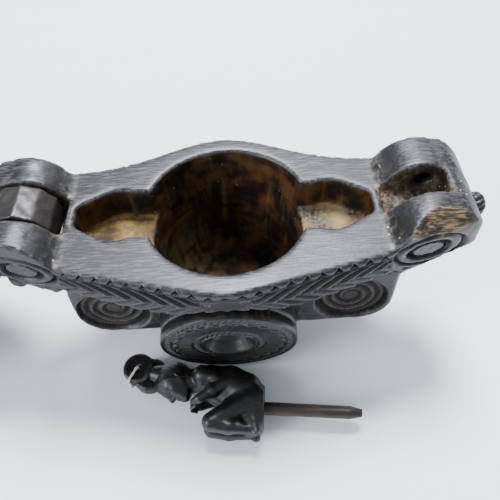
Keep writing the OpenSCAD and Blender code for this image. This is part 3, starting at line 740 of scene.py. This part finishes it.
def makeKnob(name, node, base, axes, seat):
    # rope-carved knob: rings along its axis whose radius is a dome, cut by grooves that wind as they rise
    k = knobs
    t = np.linspace(0, 1, 44)
    angle = np.linspace(0, 2 * np.pi, 144, endpoint=False)
    rise, a = np.meshgrid(t, angle, indexing="ij")
    dome = (1 - np.clip((rise - 0.15) / 0.85, 0, 1) ** 2.4) ** 0.5 * 0.94 + 0.05
    wind = np.abs(np.sin(0.5 * (k["strands"] * a + 4.2 * rise)))
    r = k["r"] * dome - k["grooveDepth"] * (1 - wind ** 0.55) * fall(rise, 0.85, 1.0)
    h = seat + k["reach"] * rise
    flat = np.stack([r * np.cos(a), r * np.sin(a), h], -1).reshape(-1, 3)
    stem = 0.96 * k["r"] * np.stack([np.cos(angle), np.sin(angle), 0 * angle], -1)
    flat = np.concatenate([stem, flat, [(0, 0, 0)], [(0, 0, seat + k["reach"])]])
    points = np.array(base) + flat @ np.array(axes)
    groove = np.concatenate([np.zeros(len(angle)), (fall(wind, 0.15, 0.4) * (rise > 0.1)).ravel(), [0, 0]])
    mesh = newMesh(name, points, revolvedFaces(45, len(angle)))
    finishPiece(name, mesh, ebony, "body", node, {"dust": 0.5 * groove})


makeRosette()
makeKnob("rightKnob", "right_rope_knob", knobs["rightBase"], [(0, 1, 0), (0, 0, 1), (1, 0, 0)],
         knobs["rightSeat"])
low, high = (np.array(v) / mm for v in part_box("left_rope_knob"))
makeKnob("leftKnob", "left_rope_knob", ((low[0] + high[0]) / 2, (low[1] + high[1]) / 2, high[2]),
         [(1, 0, 0), (0, -1, 0), (0, 0, -1)], knobs["leftSeat"])
print("rosette and knobs")

# the peg: a crouching figure with a round topknot, its shaft, and a loop of thread

pegLook = {
    "place": (7.2, -33.0, 5.6), "turn": -6.0, "head": (-23.7, 5.9), "headTilt": 20.0, "knot": (-34.6, 9.1),
    "knotR": 4.2, "knotT": 4.0, "coil": (-31.4, 7.8), "coilR": 4.6, "coilTop": 1.0, "holeR": 0.7,
    "voxel": 0.34,
}
thread = {"r": 0.35, "gap": 0.15, "bend": 0.7, "turn": -112.0, "twist": 1.9}


def atPeg(points):
    # from the peg's own axes (x along the shaft, y to its back, z up from its axis) to the shared frame
    t = np.radians(pegLook["turn"])
    axes = np.array([(np.cos(t), np.sin(t), 0), (-np.sin(t), np.cos(t), 0), (0, 0, 1.0)])
    return np.array(pegLook["place"]) + np.asarray(points) @ axes


def headAxes():
    # sideways, upward and forward directions of the head, as rows
    t = np.radians(pegLook["headTilt"])
    return np.array([(0, 0, 1.0), (-np.cos(t), np.sin(t), 0), (-np.sin(t), -np.cos(t), 0)])


def fromHead(point):
    return np.array([*pegLook["head"], 0.0]) + np.array(point, float) @ headAxes()


def headPieces():
    # (start, radius, end, radius, blend) of rounded bars, in the head's own axes: sideways, up, forward
    rows = [((0, 0.9, -0.9), 4.3, (0, 0.8, 0.5), 4.25, 0.5),
            ((0, -0.4, 0.6), 3.7, (0, -1.9, 1.2), 3.0, 0.9),
            ((0, -3.5, 2.3), 1.5, (0, -3.9, 2.7), 1.3, 0.8), ((0, 2.4, 1.9), 2.5, (0, 1.4, 2.0), 2.5, 0.8),
            ((0, 0.9, 4.1), 0.5, (0, -1.25, 5.0), 0.6, 0.5),
            ((-0.5, -1.45, 4.45), 0.42, (0.5, -1.45, 4.45), 0.42, 0.3),
            ((-0.75, -2.62, 3.75), 0.36, (0.75, -2.62, 3.75), 0.36, 0.35),
            ((-0.55, -3.2, 3.6), 0.38, (0.55, -3.2, 3.6), 0.38, 0.35)]
    for side in (-1, 1):
        rows += [((side * 2.9, -1.2, 0.0), 1.2, (side * 1.1, -3.7, 2.2), 1.2, 0.9),
                 ((side * 2.1, -0.9, 2.0), 1.5, (side * 1.7, -1.9, 2.3), 1.1, 0.9),
                 ((side * 0.5, 1.1, 4.0), 0.42, (side * 2.7, 1.0, 2.9), 0.4, 0.6),
                 ((side * 1.6, 0.0, 3.1), 0.78, (side * 1.9, 0.0, 2.95), 0.74, 0.25),
                 ((side * 3.95, 0.4, -0.7), 0.5, (side * 3.85, -1.0, -0.4), 0.42, 0.3)]
    return [(fromHead(a), ra, fromHead(b), rb, k) for a, ra, b, rb, k in rows]


def figurePieces():
    # the same for the body, in the peg's axes: arms on drawn-up knees, hands that meet under the chin
    rows = [((-5.6, 4.3, 0), 5.2, (-9.5, 6.2, 0), 4.7, 1.0),
            ((-9.5, 6.2, 0), 4.7, (-14.6, 6.7, 0), 4.4, 1.0),
            ((-13.4, 4.2, 0), 3.5, (-9, 2.6, 0), 3.6, 1.0), ((-2.4, 1.5, 0), 4.8, (-5.2, 0.8, 0), 4.6, 1.0),
            ((-2.9, -3.4, 0), 3.9, (-2.9, 1.4, 0), 4.6, 0.8),
            ((-16.6, 7.0, -2.6), 2.5, (-16.6, 7.0, 2.6), 2.5, 1.0),
            ((-17, 6.6, 0), 3.1, (-22.6, 6.4, 0), 3.3, 0.9),
            ((-26.6, 7.4, 0), 3.2, (-31.2, 8.2, 0), 1.9, 1.0)]
    for s in (-1, 1):
        rows += [((-4.6, 0.8, 2.0 * s), 3.3, (-13.0, -4.9, 2.5 * s), 2.4, 0.6),
                 ((-13.2, -5.2, 2.5 * s), 2.2, (-8.6, -6.0, 2.4 * s), 1.9, 0.5),
                 ((-10.6, -4.9, 2.5 * s), 1.9, (-6.4, -5.3, 2.3 * s), 1.6, 0.6),
                 ((-8.6, -6.0, 2.4 * s), 1.8, (-3.2, -6.1, 2.2 * s), 1.35, 0.5),
                 ((-2.3, -4.6, 2.2 * s), 1.5, (-1.8, -6.9, 2.5 * s), 1.1, 0.5),
                 ((-16.8, 7.3, 2.9 * s), 2.4, (-13.6, 6.4, 3.3 * s), 2.0, 0.6),
                 ((-13.6, 6.4, 3.3 * s), 1.95, (-10.8, 5.2, 3.5 * s), 1.7, 0.4),
                 ((-10.7, 5.0, 3.5 * s), 1.75, (-13.6, 2.9, 3.4 * s), 1.75, 0.35),
                 ((-13.6, 2.9, 3.4 * s), 1.7, (-16.6, 0.9, 2.9 * s), 1.2, 0.35),
                 ((-17.0, 0.7, 2.6 * s), 1.25, (-18.4, 0.2, 1.6 * s), 0.95, 0.3)]
        for k in range(3):
            y = -0.62 * k
            rows.append(((-17.6 - 0.1 * k, y + 0.2, 2.3 * s), 0.42, (-19.0, y - 0.2, 0.6 * s), 0.36, 0.12))
    return [(np.array(a, float), ra, np.array(b, float), rb, k) for a, ra, b, rb, k in rows]


def discField(p, centre, r, low, high, rounding):
    # distance to a flat disc with a rounded rim
    out = np.hypot(p[:, 0] - centre[0], p[:, 1] - centre[1]) - (r - rounding)
    tall = np.abs(p[:, 2] - (low + high) / 2) - ((high - low) / 2 - rounding)
    outside = np.hypot(np.maximum(out, 0), np.maximum(tall, 0))
    return outside + np.minimum(np.maximum(out, tall), 0) - rounding


def softMin(a, b, k):
    # the smaller of two distances with a fillet of size k between them
    h = np.clip(0.5 + 0.5 * (b - a) / k, 0, 1)
    return b * (1 - h) + a * h - k * h * (1 - h)


def figureField(p, pieces):
    d = np.full(len(p), 1e3)
    for a, ra, b, rb, k in pieces:
        t = np.clip(((p - a) @ (b - a)) / ((b - a) @ (b - a)), 0, 1)
        d = softMin(d, np.linalg.norm(p - a - np.outer(t, b - a), axis=1) - (ra + (rb - ra) * t), k)
    g = pegLook
    half = g["knotT"] / 2
    d = softMin(d, discField(p, g["coil"], g["coilR"], -half, g["coilTop"], 0.7), 0.3)
    d = softMin(d, discField(p, g["knot"], g["knotR"], -half, half, 0.8), 0.15)
    hole = np.hypot(p[:, 0] - g["knot"][0], p[:, 1] - g["knot"][1])
    return np.maximum(np.maximum(d, g["holeR"] - hole), p[:, 0] + 0.05)


def barMesh(a, ra, b, rb, rows=10, cols=20):
    # a closed round-ended bar: half a ball at each end, as rings about its axis
    up = (b - a) / np.linalg.norm(b - a)
    side = np.cross(up, (0.3, 0.5, 0.81))
    side /= np.linalg.norm(side)
    other = np.cross(up, side)
    t = np.linspace(-np.pi / 2, np.pi / 2, 2 * rows)
    start = (t < 0)[:, None]
    r = np.where(start[:, 0], ra, rb)[:, None]
    centre = np.where(start, a, b) + r * np.sin(t)[:, None] * up
    turn = np.linspace(0, 2 * np.pi, cols, endpoint=False)
    ring = np.cos(turn)[:, None] * side + np.sin(turn)[:, None] * other
    points = centre[1:-1, None] + (r * np.cos(t)[:, None])[1:-1, None] * ring[None]
    points = np.concatenate([points.reshape(-1, 3), [a - ra * up], [b + rb * up]])
    return points, revolvedFaces(2 * rows - 2, cols)


def ringMesh(inner, innerR, outer, outerR, low, high, cols=64):
    # a closed flat ring whose hole and rim may have different centres
    t = np.linspace(0, 2 * np.pi, cols, endpoint=False)
    circle = np.stack([np.cos(t), np.sin(t), 0 * t], -1)
    hole = np.array([*inner, 0]) + innerR * circle
    rim = np.array([*outer, 0]) + outerR * circle
    rings = [hole + (0, 0, low), rim + (0, 0, low), rim + (0, 0, high), hole + (0, 0, high)]
    points = np.concatenate(rings + rings[:1])
    faces = gridFaces(5, cols, True)
    return points[:4 * cols], (faces % (4 * cols)).tolist()


def makeFigure():
    g = pegLook
    pieces = figurePieces() + headPieces()
    solids = [barMesh(*row[:4]) for row in pieces]
    half = g["knotT"] / 2
    solids.append(ringMesh(g["knot"], g["holeR"], g["coil"], g["coilR"], -half, g["coilTop"]))
    solids.append(ringMesh(g["knot"], g["holeR"], g["knot"], g["knotR"], -half, half))
    points, faces = [], []
    for p, f in solids:
        faces += [tuple(i + len(points) for i in face) for face in f]
        points += p.tolist()
    mesh = evenSkin(newMesh("figureSource", points, faces), g["voxel"], 3)
    centre = polygonValues(mesh, "center") / mm
    head = (centre - (*g["head"], 0)) @ headAxes().T
    refine(mesh, [((np.abs(head) < (5.6, 6.4, 6.6)).all(1) & (head[:, 2] > -5), 2)])

    # every point is drawn to the blended surface along the field's slope, taken from four points round it
    p = coordsOf(mesh)
    corners = np.array([(1, 1, 1), (1, -1, -1), (-1, 1, -1), (-1, -1, 1)]) * 0.02
    for _ in range(4):
        values = np.stack([figureField(p + c, pieces) for c in corners])
        slope = np.tensordot(values, corners, (0, 0)) / (4 * 0.02 ** 2)
        size = np.maximum((slope ** 2).sum(1), 0.25)
        p -= slope * np.clip(values.mean(0) / size, -0.6, 0.6)[:, None]
    putCoords(mesh, p)

    # cut details: eyelids, mouth, ears, combed hair, finger and toe lines, and faint gouge facets
    n = normalsOf(mesh)
    x, y, z = p.T
    a, b, c = ((p - (*g["head"], 0)) @ headAxes().T).T
    face = step(c, 1.6, 2.4) * (np.abs(a) < 3.6) * (b > -5.4) * (b < 3.2)
    along = np.clip((np.abs(a) - 1.78) / 1.02, -1.2, 1.2)
    bow = np.clip(1 - along ** 2, 0, 1)
    onEye = step(bow, 0.02, 0.12)
    cut = face * onEye * (0.13 * hump(b, 0.5 * bow - 0.05, 0.11) + 0.16 * hump(b, -0.22 * bow - 0.05, 0.09))
    cut += face * onEye * 0.07 * hump(b, 0.85 * bow + 0.1, 0.16)
    cut += face * 0.2 * hump(b, -2.93 + 0.06 * (a / 1.3) ** 2, 0.09) * fall(np.abs(a), 1.1, 1.45)
    cut += 0.16 * hump(np.hypot((b + 0.3) / 1.25, (c + 0.6) / 0.75), 0.62, 0.16) * step(np.abs(a), 3.7, 4.0)
    lineAt = np.interp(c, [-5.0, -1.6, 0.7, 1.7, 3.4, 5.0], [-3.4, -2.6, -0.4, 1.5, 3.0, 3.2])
    hair = step(b - lineAt, -0.05, 0.25) * fall(b, 8.2, 8.8) * (np.abs(a) < 6)
    comb = 0.5 + 0.5 * np.sin(44 * np.arctan2(a, c) + 2 * noise(p, 1.6, 21))
    cut += -0.2 * hair + 0.05 * hair * comb ** 2 * fall(b, 4.6, 6.0)
    knotAway = np.hypot(x - g["knot"][0], y - g["knot"][1])
    onKnot = step(n[:, 2], 0.7, 0.95) * (knotAway < g["knotR"])
    rings = 0.25 * hump(knotAway, 0.8, 0.7) + 0.1 * hump(knotAway, 2.6, 0.9)
    cut += onKnot * (rings + 0.03 * noise(p, 1.1, 22))
    toes = step(-y, 6.2, 6.8) * (x > -3.2)
    cut += 0.14 * toes * (1 - np.abs(np.sin(3.4 * z))) ** 3
    cut -= 0.035 * noise(p, 1.3, 23) + 0.05 * noise(p, 3.1, 24) * (1 - face)
    putCoords(mesh, atPeg(p - n * cut[:, None]))
    bend = curvatureOf(mesh)
    finishPiece("carvedFigure", mesh, handledEbony, "peg", "peg_figure", {
        # convex edges: rubbed wear with a painted highlight
        "edge": 0.7 * step(bend, 0.012, 0.04),
        # concave creases: painted shade
        "groove": step(-bend, 0.008, 0.03),
    })


def makeThread():
    # two plies wound round each other along the oblong loop through the topknot and round its rim
    g, k = pegLook, thread
    long = g["knotR"] + k["gap"] + k["r"]
    high = g["knotT"] + 2 * (k["gap"] + k["r"])
    corner = np.linspace(0, np.pi / 2, 9)
    path = []
    for cx, cy, start in ((1, 1, 0), (-1, 1, 1), (-1, -1, 2), (1, -1, 3)):
        turn = corner + start * np.pi / 2
        path.append(np.stack([cx * (long / 2 - k["bend"]) + k["bend"] * np.cos(turn),
                              cy * (high / 2 - k["bend"]) + k["bend"] * np.sin(turn)], -1))
    path = np.concatenate(path + [path[0][:1]])
    walk = np.r_[0, np.cumsum(np.linalg.norm(np.diff(path, axis=0), axis=1))]
    s = np.linspace(0, walk[-1], 420, endpoint=False)
    line = np.stack([np.interp(s, walk, path[:, i]) for i in (0, 1)], -1)
    ahead = np.roll(line, -1, 0) - np.roll(line, 1, 0)
    ahead /= np.linalg.norm(ahead, axis=1, keepdims=True)
    out = np.stack([ahead[:, 1], -ahead[:, 0]], -1)
    # the section is nearly two touching circles, r (0.6 + 0.38 |cos u| ^ 0.8), turned as it goes
    turns = 2 * np.pi * np.round(walk[-1] / k["twist"]) / 2 * s / walk[-1]
    u = np.linspace(0, 2 * np.pi, 28, endpoint=False)
    r = k["r"] * (0.6 + 0.38 * np.abs(np.cos(u[None] - turns[:, None])) ** 0.8)
    r = r + 0.012 * np.sin(9 * u + 40 * s[:, None])
    flat = line[:, None] + (r * np.cos(u))[..., None] * out[:, None]
    ring = np.concatenate([flat, (r * np.sin(u))[..., None]], -1).reshape(-1, 3)
    faces = gridFaces(len(s) + 1, len(u), True) % len(ring)
    t = np.radians(k["turn"])
    lengthwise = np.array([np.cos(t), np.sin(t), 0])
    axes = np.stack([lengthwise, (0, 0, 1.0), np.cross(lengthwise, (0, 0, 1.0))])
    points = atPeg(np.array([*g["knot"], 0]) + lengthwise * long / 2 + ring @ axes)
    mesh = newMesh("cottonThread", points, faces)
    finishPiece("cottonThread", mesh, cotton(), "peg", "thread_loop")


def cotton():
    # Twisted cotton thread: matt warm white, its fine fibres break up the light
    material, tree, shader = newMaterial("cottonThreadTwisted")
    place = addNode(tree, "ShaderNodeTexCoord").outputs["Object"]
    fibre = addNode(tree, "ShaderNodeTexNoise", inputs={"Vector": place, "Scale": 9000.0, "Detail": 2.0})
    tint = addNode(tree, "ShaderNodeMix", {"data_type": "RGBA"})
    tree.links.new(fibre.outputs[0], tint.inputs[0])
    tint.inputs[6].default_value = srgb("#cfcbc0")
    tint.inputs[7].default_value = srgb("#f6f3ea")
    tree.links.new(tint.outputs[2], shader.inputs["Base Color"])
    shader.inputs["Roughness"].default_value = 0.85
    bumps = addNode(tree, "ShaderNodeBump", inputs={"Height": fibre.outputs[0], "Strength": 0.4,
                                                    "Distance": 0.0001})
    tree.links.new(bumps.outputs[0], shader.inputs["Normal"])
    return material


makeFigure()
makeThread()
print("figure and thread")


# the lid, its crusher, the hinge pin and the peg's shaft

def carvedCopy(node, name, voxel, marks, material, body):
    # a merged copy of a solid as one even skin with gouge marks; a mark is a noise's (height, cell), mm
    bm = mergedCopy(node)
    source = bpy.data.meshes.new(name + "Source")
    bm.to_mesh(source)
    bm.free()
    mesh = evenSkin(source, voxel, 3)
    p = coordsOf(mesh)
    relief = sum(height * noise(p, cell, 30 + i) for i, (height, cell) in enumerate(marks)) - 0.12
    putCoords(mesh, p + normalsOf(mesh) * relief[:, None])
    bend = curvatureOf(mesh)
    # convex edges carry rubbed wear with a painted highlight
    finishPiece(name, mesh, material, body, node, {"edge": step(bend, 0.03, 0.1)})


carvedCopy("lid", "carvedLid", 0.55, [(0.09, 1.5), (0.12, 4.0)], wornEbony, "lid")
carvedCopy("crusher", "carvedCrusher", 0.45, [(0.08, 1.3), (0.1, 3.4)], rawEbony, "lid")
for name, material in (("hinge_pin", wornEbony), ("peg_shaft", paleDowel)):
    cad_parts[name].data.materials.clear()
    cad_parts[name].data.materials.append(material)
print("lid, crusher, pin and shaft")

low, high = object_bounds()
